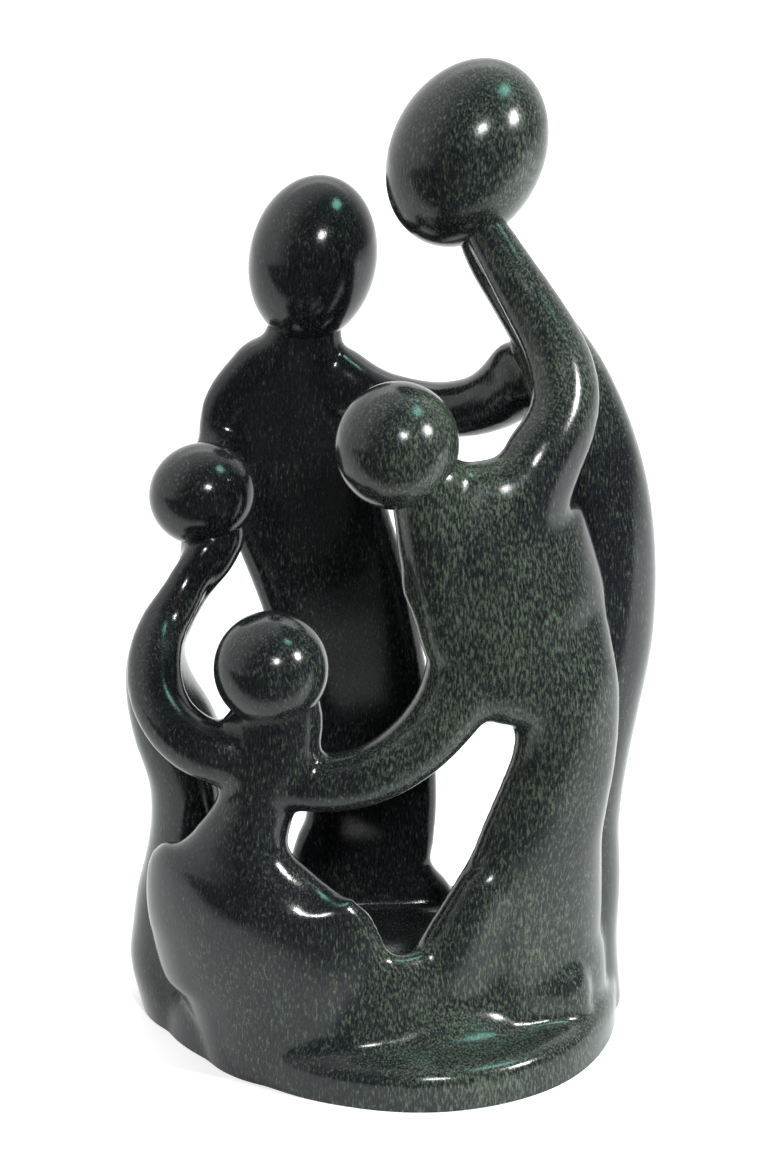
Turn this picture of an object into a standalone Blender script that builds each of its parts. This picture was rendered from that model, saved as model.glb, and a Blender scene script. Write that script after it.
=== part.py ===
"""A carved stone family: five figures stand in a ring on an oval base, each with an arm up to the next.

Everything is one block of stone, so the script makes one solid. The front of the ring faces -Y.
"""

import bpy
import numpy as np
from math import cos, hypot, pi, radians, sin
from mathutils import Matrix, Vector

for thing in list(bpy.data.objects):
    bpy.data.objects.remove(thing)

# Sizes in metres

BASE_SPAN = 0.154          # the base, an uneven oval, across its longest way
BASE_THICKNESS = 0.0135    # from the underside to the floor between the figures
BASE_EDGE = 0.0055         # rounding of the rim

# Figure heights, from the underside of the base to the crown of the head

TALL_PARENT_HEIGHT = 0.301
SECOND_PARENT_HEIGHT = 0.26
ELDEST_CHILD_HEIGHT = 0.2145
MIDDLE_CHILD_HEIGHT = 0.186
YOUNGEST_CHILD_HEIGHT = 0.146

BEND_RADIUS = 0.060        # the bodies are cupped towards the hollow inside the ring
FULLNESS = 2.3             # 2 gives an oval section, more a boxier one
CREASE_SPREAD = 0.0022     # how far the chisel's inner corners are rubbed round
SWEEP_SPREAD = 0.0050      # the same where one form sweeps into the next

CARVING_STEP = 0.0016      # voxel size of the blocked-out stone
SPARE_DEPTH = 0.012        # stone carved below the underside, then sawn off flat
SKIN_TRIANGLES = 6400      # left in the skin before the heads are added

# Where one form sweeps into the next: middle across, back and up, and reach, in hundredths of the tallest
# figure's height, measured from the middle of the base

SWEEPS = [(-1.0, -18.5, 9.0, 10.0), (14.5, -14.0, 56.0, 7.0)]

# Points round and along the shells that are blocked out

BASE_AROUND = 72
RIM_RINGS = 6
LIMB_AROUND = 28
LIMB_RINGS = 40
CAP_ANGLES = (75, 50, 25)  # the sections that round off a limb's end
SWEEP_SHADES = 10          # steps from untouched to fully swept
HEAD_AROUND = 26
HEAD_RINGS = 16

# The rim of the base: degrees from +X, and distance from the middle as a share of half the span

RIM = [(-165, 0.91), (-135, 0.85), (-105, 0.90), (-75, 0.98), (-50, 1.00), (-20, 0.97),
       (15, 0.96), (50, 0.98), (85, 1.00), (120, 0.98), (155, 0.95)]

# Where each figure's foot stands: degrees from +X round the ring, and metres in from the rim

TALL_PARENT_FOOT = (14, 0.0115)
SECOND_PARENT_FOOT = (95, 0.0165)
ELDEST_CHILD_FOOT = (-33, 0.0245)
MIDDLE_CHILD_FOOT = (172, 0.0105)
YOUNGEST_CHILD_FOOT = (-130, 0.0125)

# Bodies, in hundredths of the figure's own height, measured from its foot:
# up, across (+X), back (+Y), half width, half depth; last, the way the chest faces in degrees

TALL_PARENT_BODY = [
    (0.0, -0.5, -0.5, 9.5, 5.7, 14),
    (3.5, -0.5, -0.5, 8.7, 5.4, 14),
    (6.5, -0.4, -0.4, 8.4, 5.1, 14),
    (13.5, 0.0, 0.0, 8.0, 4.9, 14),
    (19.9, 0.0, 0.4, 7.6, 4.7, 14),
    (26.4, 0.6, 0.7, 7.6, 4.8, 14),
    (32.9, 1.5, 1.0, 7.6, 5.1, 14),
    (39.4, 2.3, 1.3, 7.6, 5.5, 14),
    (48.3, 2.5, 1.3, 7.3, 5.5, 14),
    (55.8, 1.8, 1.0, 6.6, 5.2, 14),
    (62.3, 0.4, 0.4, 5.6, 4.6, 14),
    (67.8, -1.6, -0.4, 4.7, 4.0, 12),
    (72.8, -4.3, -1.4, 3.9, 3.3, 10),
    (77.2, -7.1, -2.4, 3.4, 2.9, 5),
    (81.2, -9.5, -3.0, 2.9, 2.7, 0),
    (84.7, -11.0, -3.4, 2.6, 2.4, 0),
]

SECOND_PARENT_BODY = [
    (0.0, 0.0, 0.0, 13.2, 7.1, 95),
    (4.0, -0.4, 0.0, 11.7, 5.7, 95),
    (7.9, -1.0, -0.1, 10.0, 4.6, 95),
    (10.9, -1.0, -0.1, 9.1, 4.2, 95),
    (14.0, -0.2, -0.1, 8.6, 4.0, 95),
    (17.5, 0.3, -0.3, 8.4, 4.0, 95),
    (24.0, 0.0, -0.5, 8.6, 4.0, 95),
    (32.2, -1.1, -0.8, 9.0, 4.2, 95),
    (40.4, -2.6, -1.2, 9.2, 4.4, 95),
    (48.6, -4.5, -1.8, 9.4, 4.6, 95),
    (57.4, -7.3, -2.4, 9.7, 4.6, 95),
    (63.1, -9.0, -2.7, 10.2, 4.6, 95),
    (68.2, -10.5, -3.1, 10.3, 4.6, 95),
    (72.2, -10.2, -3.5, 9.7, 4.4, 95),
    (75.8, -9.3, -3.9, 7.4, 4.2, 95),
    (78.6, -8.1, -4.3, 5.3, 3.8, 95),
    (82.1, -7.5, -4.5, 4.4, 3.6, 95),
]

ELDEST_CHILD_BODY = [
    (0.0, -1.0, -0.5, 19.2, 10.0, -60),
    (4.5, -0.6, -0.4, 18.2, 8.2, -60),
    (9.0, 0.6, -0.4, 15.7, 6.4, -60),
    (15.7, 0.6, -0.4, 14.3, 5.6, -60),
    (20.9, 1.4, -0.4, 12.9, 5.3, -60),
    (26.8, 2.2, -0.9, 11.3, 5.1, -60),
    (33.7, 3.2, -1.8, 9.6, 4.9, -60),
    (39.5, 4.5, -2.3, 8.7, 4.7, -60),
    (45.2, 5.7, -2.7, 8.0, 4.7, -60),
    (50.1, 6.0, -3.0, 7.9, 4.8, -60),
    (54.6, 5.4, -3.3, 8.8, 4.9, -60),
    (58.6, 3.2, -3.5, 11.3, 5.2, -60),
    (62.1, 1.0, -3.8, 13.8, 5.4, -60),
    (66.2, -0.2, -4.1, 14.6, 5.6, -60),
    (72.2, -2.0, -4.1, 14.5, 5.6, -60),
    (77.2, -4.4, -4.1, 14.0, 5.6, -60),
    (79.9, -5.6, -4.1, 13.0, 5.4, -60),
    (81.9, -7.0, -4.3, 11.6, 5.1, -60),
    (83.8, -9.4, -4.6, 9.0, 4.8, -60),
    (86.0, -12.8, -5.0, 6.0, 4.4, -58),
]

MIDDLE_CHILD_BODY = [
    (0.0, -0.2, -0.3, 16.7, 8.4, 174),
    (4.9, -0.9, -0.3, 16.1, 9.0, 174),
    (8.7, -1.3, -0.3, 14.9, 9.5, 174),
    (14.3, -1.1, -0.3, 13.9, 9.2, 174),
    (19.9, -0.9, -0.3, 13.1, 8.6, 174),
    (25.6, -0.3, -0.9, 12.4, 7.8, 174),
    (31.3, 0.1, -1.1, 11.7, 7.1, 174),
    (36.9, 0.1, -1.4, 11.1, 6.7, 174),
    (42.5, -0.4, -1.9, 10.8, 6.5, 174),
    (47.2, -1.7, -2.2, 10.5, 6.4, 174),
    (51.7, -3.3, -2.5, 10.1, 6.2, 174),
    (55.2, -4.5, -2.5, 9.7, 5.6, 174),
    (58.8, -5.2, -2.5, 8.8, 5.1, 174),
    (62.3, -5.3, -2.5, 7.9, 4.7, 174),
    (65.9, -4.3, -2.5, 7.0, 4.1, 174),
    (69.1, -2.3, -2.7, 6.2, 3.4, 174),
    (72.1, -0.4, -3.0, 5.6, 2.9, 174),
    (75.6, 1.3, -3.5, 5.3, 3.1, 174),
    (78.5, 2.6, -4.1, 5.2, 3.8, 174),
    (81.0, 3.7, -4.6, 5.2, 4.6, 174),
    (85.0, 5.0, -4.8, 5.3, 5.3, 174),
]

YOUNGEST_CHILD_BODY = [
    (0.0, 1.8, -1.6, 21.5, 9.4, -118),
    (7.0, 1.3, -1.8, 23.2, 9.3, -118),
    (14.6, 0.0, -2.3, 25.3, 8.6, -118),
    (21.0, -2.2, -3.0, 26.8, 7.7, -118),
    (27.0, -5.2, -3.3, 26.8, 7.1, -118),
    (32.0, -7.0, -3.5, 25.4, 6.7, -118),
    (36.5, -8.3, -3.5, 24.3, 6.4, -118),
    (40.0, -8.5, -3.4, 22.9, 6.1, -118),
    (42.7, -8.0, -3.2, 20.5, 6.0, -118),
    (45.4, -7.2, -2.8, 16.6, 6.0, -118),
    (47.8, -6.6, -2.3, 13.4, 6.1, -118),
    (50.5, -5.9, -1.8, 10.9, 6.3, -118),
    (53.3, -4.9, -1.3, 9.2, 6.5, -118),
    (57.0, -3.5, -0.7, 8.3, 6.8, -118),
    (60.5, -2.8, -0.1, 7.9, 6.8, -118),
    (63.8, -2.1, -0.1, 9.1, 6.8, -118),
    (67.1, -1.9, -0.1, 10.3, 6.8, -118),
    (70.4, -0.2, -0.1, 11.2, 6.8, -118),
    (73.7, 0.7, -0.5, 10.8, 6.8, -118),
    (76.6, 1.7, -0.8, 9.5, 6.8, -118),
    (81.1, 2.0, -1.2, 8.7, 6.8, -118),
]

# Heads: centre across and back, half width, half height; lean to the right in degrees
# The crown of each head stands at the figure's height

TALL_PARENT_HEAD = (-11.9, -3.0, 7.5, 9.7, 28)
SECOND_PARENT_HEAD = (-6.5, -5.0, 7.7, 10.2, 12)
ELDEST_CHILD_HEAD = (-18.2, -6.0, 8.4, 8.7, 15)
MIDDLE_CHILD_HEAD = (3.2, -4.5, 8.4, 8.8, 70)
YOUNGEST_CHILD_HEAD = (0.8, -1.7, 11.6, 11.7, 0)

# Where the arms begin and end, up, across and back in hundredths of that figure's height

TALL_PARENT_NECK = (84.5, -10.6, -5.4)
TALL_PARENT_SHOULDER = (67.5, -6.1, 1.6)
SECOND_PARENT_RIGHT = (74.4, -3.5, -4.3)
SECOND_PARENT_LEFT = (72.1, -11.3, -3.5)
ELDEST_CHILD_RIGHT = (74.7, -4.2, -3.7)
ELDEST_CHILD_LEFT = (65.8, -6.9, -5.1)
MIDDLE_CHILD_NECK_FRONT = (82.8, 3.6, -8.9)
MIDDLE_CHILD_NECK_BACK = (84.8, 4.1, -1.9)
YOUNGEST_CHILD_LEFT = (65.9, -1.3, -0.1)
YOUNGEST_CHILD_NECK = (64.0, 3.4, -0.8)

# Arms: the share of the way from the shoulder to the end, the bow off that straight line
# (up, across, back), half width, half depth, the last five in hundredths of the figure's height

ELDEST_TO_TALL_PARENT = [
    (0.00, 0.0, 1.4, 0.0, 8.6, 4.7),
    (0.17, 0.8, 4.3, -1.6, 6.9, 4.7),
    (0.28, 1.0, 6.8, -1.8, 6.0, 4.6),
    (0.38, 0.9, 9.4, -1.1, 5.3, 4.3),
    (0.47, 0.7, 10.5, -0.4, 5.1, 4.2),
    (0.55, 0.6, 10.2, -0.1, 5.0, 4.1),
    (0.64, 0.5, 8.8, 0.1, 4.5, 3.9),
    (0.74, 0.3, 6.5, 0.3, 4.0, 3.7),
    (0.85, 0.2, 3.7, 0.1, 3.4, 3.4),
    (0.94, 0.1, 1.5, 0.1, 2.9, 3.1),
    (1.00, 0.0, 0.0, 0.0, 2.6, 2.8),
]

ELDEST_TO_YOUNGEST = [
    (0.00, 0.0, 0.8, 0.0, 7.6, 5.1),
    (0.15, -1.9, 3.0, -0.7, 6.2, 4.9),
    (0.33, -4.4, 4.6, -1.4, 4.9, 4.7),
    (0.53, -5.6, 5.0, -1.6, 4.4, 4.4),
    (0.73, -4.9, 4.2, -1.5, 4.1, 4.3),
    (0.88, -2.8, 2.4, -0.9, 4.0, 4.2),
    (1.00, 0.0, 0.0, 0.0, 4.0, 4.2),
]

YOUNGEST_TO_MIDDLE = [
    (0.00, 0.0, 0.0, 0.0, 6.8, 6.1),
    (0.10, -0.7, -6.2, -2.2, 6.5, 6.1),
    (0.18, -1.8, -11.4, -3.1, 6.1, 6.0),
    (0.29, -2.6, -14.8, -3.5, 5.7, 5.8),
    (0.41, -3.3, -16.2, -3.1, 5.6, 5.6),
    (0.55, -3.7, -15.7, -2.2, 5.7, 5.4),
    (0.66, -3.7, -13.9, -1.2, 5.3, 5.2),
    (0.75, -3.6, -11.3, 0.1, 4.7, 4.9),
    (0.84, -2.8, -7.3, 0.9, 4.1, 4.5),
    (0.92, -1.8, -4.0, 0.9, 3.6, 4.1),
    (1.00, 0.0, 0.0, 0.0, 3.6, 3.9),
]

SECOND_PARENT_TO_TALL = [
    (0.00, 0.0, 0.0, 0.0, 4.6, 3.8),
    (0.10, -1.4, 0.4, 0.4, 4.0, 3.5),
    (0.20, -2.5, 0.8, 0.7, 3.6, 3.4),
    (0.32, -3.4, 1.2, 1.2, 3.4, 3.3),
    (0.46, -4.1, 1.6, 1.7, 3.3, 3.3),
    (0.60, -4.2, 1.6, 1.7, 3.5, 3.3),
    (0.74, -3.6, 1.4, 1.3, 3.7, 3.4),
    (0.87, -2.2, 1.0, 0.8, 4.1, 3.5),
    (1.00, 0.0, 0.0, 0.0, 4.3, 3.4),
]

SECOND_PARENT_TO_MIDDLE = [
    (0.00, 0.0, 0.0, 1.2, 5.0, 3.4),
    (0.20, -1.1, -2.6, 3.0, 4.4, 3.2),
    (0.44, -1.8, -3.6, 3.4, 3.8, 3.1),
    (0.69, -2.1, -3.0, 2.6, 3.4, 3.1),
    (0.88, -1.1, -1.3, 1.3, 3.1, 3.1),
    (1.00, 0.0, 0.0, 0.0, 3.1, 3.1),
]


# Low walls laid like arms: the youngest child's skirt runs on to the eldest child, whose foot flares back

SKIRT_START = (8.2, 3.0, -4.4)
SKIRT_END = (12.7, 33.0, -3.4)
YOUNGEST_SKIRT = [
    (0.00, 0.0, 0.0, 0.0, 8.4, 4.4),
    (0.25, -1.3, -0.2, -4.2, 9.6, 4.4),
    (0.50, -1.7, -0.2, -6.4, 12.4, 4.2),
    (0.75, 0.2, -0.2, -4.6, 15.4, 4.1),
    (1.00, 0.0, 0.0, 0.0, 16.2, 4.1),
]

FLARE_START = (3.7, -6.1, -8.4)
FLARE_END = (3.2, -25.0, -14.6)
ELDEST_FLARE = [
    (0.00, 0.0, 0.0, 0.0, 9.0, 5.0),
    (0.35, 1.0, 0.0, -1.0, 8.4, 4.6),
    (0.70, 0.3, 0.0, -0.8, 6.0, 3.8),
    (1.00, 0.0, 0.0, 0.0, 4.2, 3.0),
]


def run_of(rows):
    """Distance run along the rows' centres, row by row."""
    centres = np.array(rows, dtype=float)[:, :3]
    return np.concatenate([[0], np.cumsum(np.linalg.norm(np.diff(centres, axis=0), axis=1))])


def read_smooth(rows, want):
    """Read a smooth curve through the rows at the wanted distances along it."""
    rows = np.array(rows, dtype=float)
    want = np.array(want, dtype=float)
    reach = run_of(rows)
    slope = np.gradient(rows, reach, axis=0)
    first = np.clip(np.searchsorted(reach, want, side="right") - 1, 0, len(rows) - 2)
    gap = (reach[first + 1] - reach[first])[:, None]
    part = ((want - reach[first])[:, None]) / gap
    return (rows[first] * (2 * part**3 - 3 * part**2 + 1)
            + slope[first] * gap * (part**3 - 2 * part**2 + part)
            + rows[first + 1] * (3 * part**2 - 2 * part**3)
            + slope[first + 1] * gap * (part**3 - part**2))


def rim_radius(angle):
    """Distance from the middle of the oval base to its rim, in the given direction in degrees."""
    turn = [mark[0] for mark in RIM]
    share = [mark[1] for mark in RIM]
    turn = [turn[-2] - 360, turn[-1] - 360, *turn, turn[0] + 360, turn[1] + 360]
    share = [share[-2], share[-1], *share, share[0], share[1]]
    marks = [(turn[step], 0.0, 0.0, share[step]) for step in range(len(turn))]
    angle = (angle + 180) % 360 - 180
    return BASE_SPAN / 2 * read_smooth(marks, [angle - marks[0][0]])[0, 3]


def figure_point(height, foot, up, across, back):
    """A place on a figure, given in hundredths of its height from its foot."""
    angle, inset = foot
    radius = rim_radius(angle) - inset
    start = np.array([radius * cos(radians(angle)), radius * sin(radians(angle)), 0.0])
    return start + np.array([across, back, up]) * height / 100


def base_shell(levels):
    """A closed oval block from levels of height and distance in from the rim."""
    points = []
    for level, inset in levels:
        for step in range(BASE_AROUND):
            angle = step * 360 / BASE_AROUND
            radius = rim_radius(angle) - inset
            points.append((radius * cos(radians(angle)), radius * sin(radians(angle)), level))
    top = len(points) - BASE_AROUND
    faces = [tuple(range(BASE_AROUND))[::-1], tuple(range(top, len(points)))]
    faces += band_faces(len(levels), BASE_AROUND)
    return points, faces


def band_faces(rings, around):
    """The four-sided faces between rings of points, every ring the same number of points."""
    faces = []
    for ring in range(rings - 1):
        for step in range(around):
            here = ring * around + step
            beside = ring * around + (step + 1) % around
            faces.append((here, beside, beside + around, here + around))
    return faces


def limb(rows):
    """A closed shell along rows of centre x, y, z, half width, half depth and facing."""
    count = LIMB_RINGS
    rows = read_smooth(rows, np.linspace(0, run_of(rows)[-1], count))
    along = np.gradient(rows[:, :3], axis=0)
    along /= np.linalg.norm(along, axis=1)[:, None]
    face = np.stack([np.cos(np.radians(rows[:, 5])), np.sin(np.radians(rows[:, 5])),
                     np.zeros(count)], axis=1)
    width = np.cross(along, face)
    width /= np.linalg.norm(width, axis=1)[:, None]
    depth = np.cross(width, along)

    # Round both ends with a few shrinking sections
    cap = np.radians(CAP_ANGLES)
    ends = [rows[0, 4] * np.sin(cap), rows[-1, 4] * np.sin(cap[::-1])]
    size = np.concatenate([np.cos(cap), np.ones(count), np.cos(cap[::-1])])
    pick = np.concatenate([np.zeros(len(cap), int), np.arange(count), np.full(len(cap), count - 1)])
    push = np.concatenate([-ends[0], np.zeros(count), ends[1]])
    centre = rows[pick, :3] + along[pick] * push[:, None]

    turn = np.arange(LIMB_AROUND) * 2 * pi / LIMB_AROUND
    side = np.sign(np.cos(turn)) * np.abs(np.cos(turn)) ** (2 / FULLNESS)
    front = np.sign(np.sin(turn)) * np.abs(np.sin(turn)) ** (2 / FULLNESS)
    side = side[None, :] * (rows[pick, 3] * size)[:, None]
    front = front[None, :] * (rows[pick, 4] * size)[:, None]

    # Cup the section, less where the limb lies level
    level = np.linalg.norm(width[pick, :2], axis=1)[:, None]
    front = front - (side * level) ** 2 / (2 * BEND_RADIUS)
    ring = centre[:, None] + side[..., None] * width[pick][:, None] + front[..., None] * depth[pick][:, None]

    points = ring.reshape(-1, 3)
    top = len(points) - LIMB_AROUND
    faces = [tuple(range(LIMB_AROUND))[::-1], tuple(range(top, len(points)))]
    faces += band_faces(len(ring), LIMB_AROUND)
    return points, faces


def body_rows(height, foot, rows):
    """Turn a body's shares into places and sizes in metres."""
    return [(*figure_point(height, foot, up, across, back), wide * height / 100, deep * height / 100, facing)
            for up, across, back, wide, deep, facing in rows]


def arm_rows(height, start, end, facings, rows):
    """Lay an arm from start to end, bowed and sized in hundredths of its figure's height."""
    laid = []
    for way, up, across, back, wide, deep in rows:
        place = start + (end - start) * way + np.array([across, back, up]) * height / 100
        facing = facings[0] + (facings[1] - facings[0]) * way
        laid.append((*place, wide * height / 100, deep * height / 100, facing))
    return laid


def solid_from(name, points, faces):
    """Make a mesh object with its faces turned outwards."""
    mesh = bpy.data.meshes.new(name)
    mesh.from_pydata([tuple(point) for point in points], [], faces)
    mesh.update()
    made = bpy.data.objects.new(name, mesh)
    bpy.context.collection.objects.link(made)
    return made


def apply_modifiers(made):
    """Bake the modifiers of an object into its mesh."""
    bpy.context.view_layer.update()
    ready = made.evaluated_get(bpy.context.evaluated_depsgraph_get())
    mesh = bpy.data.meshes.new_from_object(ready)
    made.modifiers.clear()
    made.data = mesh


def combine(made, other, operation):
    """Join or cut one solid with another and drop the second."""
    step = made.modifiers.new("combine", "BOOLEAN")
    step.operation = operation
    step.solver = "EXACT"
    step.object = other
    apply_modifiers(made)
    bpy.data.objects.remove(other)


# The oval base, with a rounded rim

levels = [(-SPARE_DEPTH, 0.0), (0.0, 0.0)]
for step in range(RIM_RINGS + 1):
    bend = step / RIM_RINGS * pi / 2
    levels.append((BASE_THICKNESS - BASE_EDGE * (1 - sin(bend)), BASE_EDGE * (1 - cos(bend))))
shells = [base_shell(levels)]

# The five bodies

figures = {
    "tall parent": (TALL_PARENT_HEIGHT, TALL_PARENT_FOOT, TALL_PARENT_BODY, TALL_PARENT_HEAD),
    "second parent": (SECOND_PARENT_HEIGHT, SECOND_PARENT_FOOT, SECOND_PARENT_BODY, SECOND_PARENT_HEAD),
    "eldest child": (ELDEST_CHILD_HEIGHT, ELDEST_CHILD_FOOT, ELDEST_CHILD_BODY, ELDEST_CHILD_HEAD),
    "middle child": (MIDDLE_CHILD_HEIGHT, MIDDLE_CHILD_FOOT, MIDDLE_CHILD_BODY, MIDDLE_CHILD_HEAD),
    "youngest child": (YOUNGEST_CHILD_HEIGHT, YOUNGEST_CHILD_FOOT, YOUNGEST_CHILD_BODY, YOUNGEST_CHILD_HEAD),
}
for height, foot, body, head in figures.values():
    shells.append(limb(body_rows(height, foot, body)))

# The arms and low walls: whose it is, where it begins, whom it reaches, where it ends, how it faces at
# either end

arms = [
    ("eldest child", ELDEST_CHILD_RIGHT, "tall parent", TALL_PARENT_NECK, (-57, -15), ELDEST_TO_TALL_PARENT),
    ("eldest child", ELDEST_CHILD_LEFT, "youngest child", YOUNGEST_CHILD_NECK, (-70, -95), ELDEST_TO_YOUNGEST),
    ("youngest child", YOUNGEST_CHILD_LEFT, "middle child", MIDDLE_CHILD_NECK_FRONT, (-110, -150),
     YOUNGEST_TO_MIDDLE),
    ("second parent", SECOND_PARENT_RIGHT, "tall parent", TALL_PARENT_SHOULDER, (90, 30), SECOND_PARENT_TO_TALL),
    ("second parent", SECOND_PARENT_LEFT, "middle child", MIDDLE_CHILD_NECK_BACK, (110, 175),
     SECOND_PARENT_TO_MIDDLE),
    ("youngest child", SKIRT_START, "youngest child", SKIRT_END, (-115, -80), YOUNGEST_SKIRT),
    ("eldest child", FLARE_START, "eldest child", FLARE_END, (-70, -100), ELDEST_FLARE),
]
for owner, shoulder, neighbour, neck, facings, rows in arms:
    height, foot = figures[owner][:2]
    start = figure_point(height, foot, *shoulder)
    end = figure_point(*figures[neighbour][:2], *neck)
    shells.append(limb(arm_rows(height, start, end, facings, rows)))

# Block out the stone: one skin round every shell, rub the inner corners round, thin out where nearly flat

all_points = []
all_faces = []
for points, faces in shells:
    start = len(all_points)
    all_points.extend(points)
    all_faces.extend(tuple(start + corner for corner in face) for face in faces)
family = solid_from("family_group", all_points, all_faces)

skin = family.modifiers.new("one skin", "REMESH")
skin.mode = "VOXEL"
skin.voxel_size = CARVING_STEP
apply_modifiers(family)

places = np.empty(len(family.data.vertices) * 3)
family.data.vertices.foreach_get("co", places)
places = places.reshape(-1, 3)
swept = family.vertex_groups.new(name="swept")
closeness = np.zeros(len(places))
for *middle, reach in np.array(SWEEPS) * TALL_PARENT_HEIGHT / 100:
    away = np.linalg.norm(places - middle, axis=1) / reach
    closeness = np.maximum(closeness, 1 - np.clip(away, 0, 1) ** 2)
for step in range(1, SWEEP_SHADES + 1):
    chosen = np.flatnonzero(np.round(closeness * SWEEP_SHADES) == step)
    swept.add(chosen.tolist(), step / SWEEP_SHADES, "REPLACE")

for label, spread, group in (("rub round", CREASE_SPREAD, ""), ("sweep", SWEEP_SPREAD, "swept")):
    rub = family.modifiers.new(label, "SMOOTH")
    rub.factor = 0.5
    rub.iterations = round(4 * (spread / CARVING_STEP) ** 2)
    rub.vertex_group = group
apply_modifiers(family)

thin = family.modifiers.new("thin out", "DECIMATE")
thin.ratio = SKIN_TRIANGLES / sum(len(face.vertices) - 2 for face in family.data.polygons)
apply_modifiers(family)

# The heads keep a crisp crease where they rest on the necks

for height, foot, body, (across, back, half_width, half_height, lean) in figures.values():
    up = 100 - hypot(half_height * cos(radians(lean)), half_width * sin(radians(lean)))
    bpy.ops.mesh.primitive_uv_sphere_add(segments=HEAD_AROUND, ring_count=HEAD_RINGS, radius=height / 100)
    head = bpy.context.object
    place = Matrix.Translation(Vector(figure_point(height, foot, up, across, back)))
    head.data.transform(place @ Matrix.Rotation(radians(lean), 4, "Y")
                        @ Matrix.Diagonal((half_width, half_width, half_height, 1)))
    combine(family, head, "UNION")

# Saw the underside flat

bpy.ops.mesh.primitive_cube_add(size=1, location=(0, 0, -0.5))
combine(family, bpy.context.object, "DIFFERENCE")

stone = bpy.data.materials.new("stone")
stone.use_nodes = True
finish = stone.node_tree.nodes["Principled BSDF"]
finish.inputs["Base Color"].default_value = (0.022, 0.034, 0.030, 1)
finish.inputs["Roughness"].default_value = 0.16
family.data.materials.clear()
family.data.materials.append(stone)
family.data.polygons.foreach_set("use_smooth", [True] * len(family.data.polygons))
family.data.update()
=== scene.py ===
# %% [markdown]
# # A family carved from one block of stone
# Five figures stand in a ring on an oval base, and each one's arm reaches up to the next one's neck.
# This script grows the whole carving from short tables of sizes, polishes it, colours it as dark green
# stone and lights it on a pale floor. Read it from the top: every cell makes one thing and prints a measure
# of it. Lengths are in metres, and the front of the ring faces -Y.
#
# The solid model comes first, because its box is the room that the finer carving may fill.

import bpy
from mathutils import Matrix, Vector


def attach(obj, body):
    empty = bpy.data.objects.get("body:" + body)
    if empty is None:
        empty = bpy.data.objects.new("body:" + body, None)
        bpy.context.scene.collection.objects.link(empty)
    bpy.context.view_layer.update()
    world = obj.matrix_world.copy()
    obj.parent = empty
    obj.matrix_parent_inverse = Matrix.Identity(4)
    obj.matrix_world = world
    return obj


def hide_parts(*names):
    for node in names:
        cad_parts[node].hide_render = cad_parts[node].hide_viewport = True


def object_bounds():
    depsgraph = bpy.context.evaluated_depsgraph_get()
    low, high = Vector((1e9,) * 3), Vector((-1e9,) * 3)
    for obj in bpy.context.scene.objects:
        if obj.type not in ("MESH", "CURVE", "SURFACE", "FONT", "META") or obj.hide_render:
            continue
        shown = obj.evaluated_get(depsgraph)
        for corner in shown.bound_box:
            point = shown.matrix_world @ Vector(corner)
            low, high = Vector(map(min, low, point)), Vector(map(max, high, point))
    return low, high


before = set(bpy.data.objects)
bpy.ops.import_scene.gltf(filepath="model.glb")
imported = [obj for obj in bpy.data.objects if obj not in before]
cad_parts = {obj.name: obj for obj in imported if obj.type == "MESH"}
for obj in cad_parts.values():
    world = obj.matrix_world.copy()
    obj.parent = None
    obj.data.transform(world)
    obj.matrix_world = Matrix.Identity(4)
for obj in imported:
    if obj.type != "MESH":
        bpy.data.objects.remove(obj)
cad_low, cad_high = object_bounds()
print("solid model spans", [round(float(span), 4) for span in cad_high - cad_low], "m")

# %% [markdown]
# Blender makes the objects and their materials. Numpy works on whole arrays of points at once.

# %% Tools from Blender and numpy
from math import radians

import bpy
import numpy as np
from mathutils import Matrix, Vector

print("Blender", bpy.app.version_string, "with numpy", np.__version__)

# %% [markdown]
# ## Sizes
# The base has its own sizes. Every figure has one height, and all its other numbers are hundredths of that
# height, so a taller figure grows in proportion.

# %% Sizes of the base, the figures and the carving
BASE_SPAN = 0.154
BASE_THICKNESS = 0.0135
BASE_EDGE = 0.0055  # radius of the rounded edge along the top of the rim

TALL_PARENT_HEIGHT = 0.301
SECOND_PARENT_HEIGHT = 0.26
ELDEST_CHILD_HEIGHT = 0.2145
MIDDLE_CHILD_HEIGHT = 0.186
YOUNGEST_CHILD_HEIGHT = 0.146

BEND_RADIUS = 0.060  # how tightly every slab is cupped towards the hollow
FULLNESS = 2.3  # 2 makes the sections ovals, and more makes them boxier
CREASE_SPREAD = 0.0025  # how far the rubbing reaches in every crease
SWEEP_SPREAD = 0.0050  # how far it reaches where one form sweeps into the next

# Where forms sweep into each other, in hundredths of the tall parent's height:
# across (+X), back (+Y) and up from the middle of the base, and how far the sweep reaches from there

SWEEPS = [
    (-1.0, -18.5, 9.0, 10.0),
    (14.5, -14.0, 56.0, 7.0),
    (-8.0, -16.6, 21.3, 6.5),
    (7.0, -18.0, 7.5, 9.0),
    (10.6, -12.0, 60.0, 5.5),
    (23.0, -6.6, 51.0, 7.0),
]
print("the tall parent is", round(TALL_PARENT_HEIGHT / YOUNGEST_CHILD_HEIGHT, 2), "times the youngest child")

# %% [markdown]
# How fine the mesh is cut is kept apart from the sizes, so either can change without the other.

# %% How fine the mesh is cut
CARVING_STEP = 0.0015  # edge of the little cubes that the skin is built on
SWEEP_SHADES = 10  # steps in which a sweep fades out
PASSES_PER_STEP = 4  # rubbing passes that reach one carving step far
SPARE_DEPTH = 0.012  # how far the base first runs below the ground, to be sawn off
BASE_AROUND = 240
EDGE_RINGS = 10
LIMB_AROUND = 72
LIMB_RINGS = 130
CAP_DEGREES = [80, 65, 50, 35, 18]  # where the rings of a limb's round end sit on its quarter circle
HEAD_AROUND = 80
HEAD_RINGS = 50
SHARP_DEGREES = 38  # edges that turn by more than this keep a crisp crease
print("the base spans", round(BASE_SPAN / CARVING_STEP), "carving steps")

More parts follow.
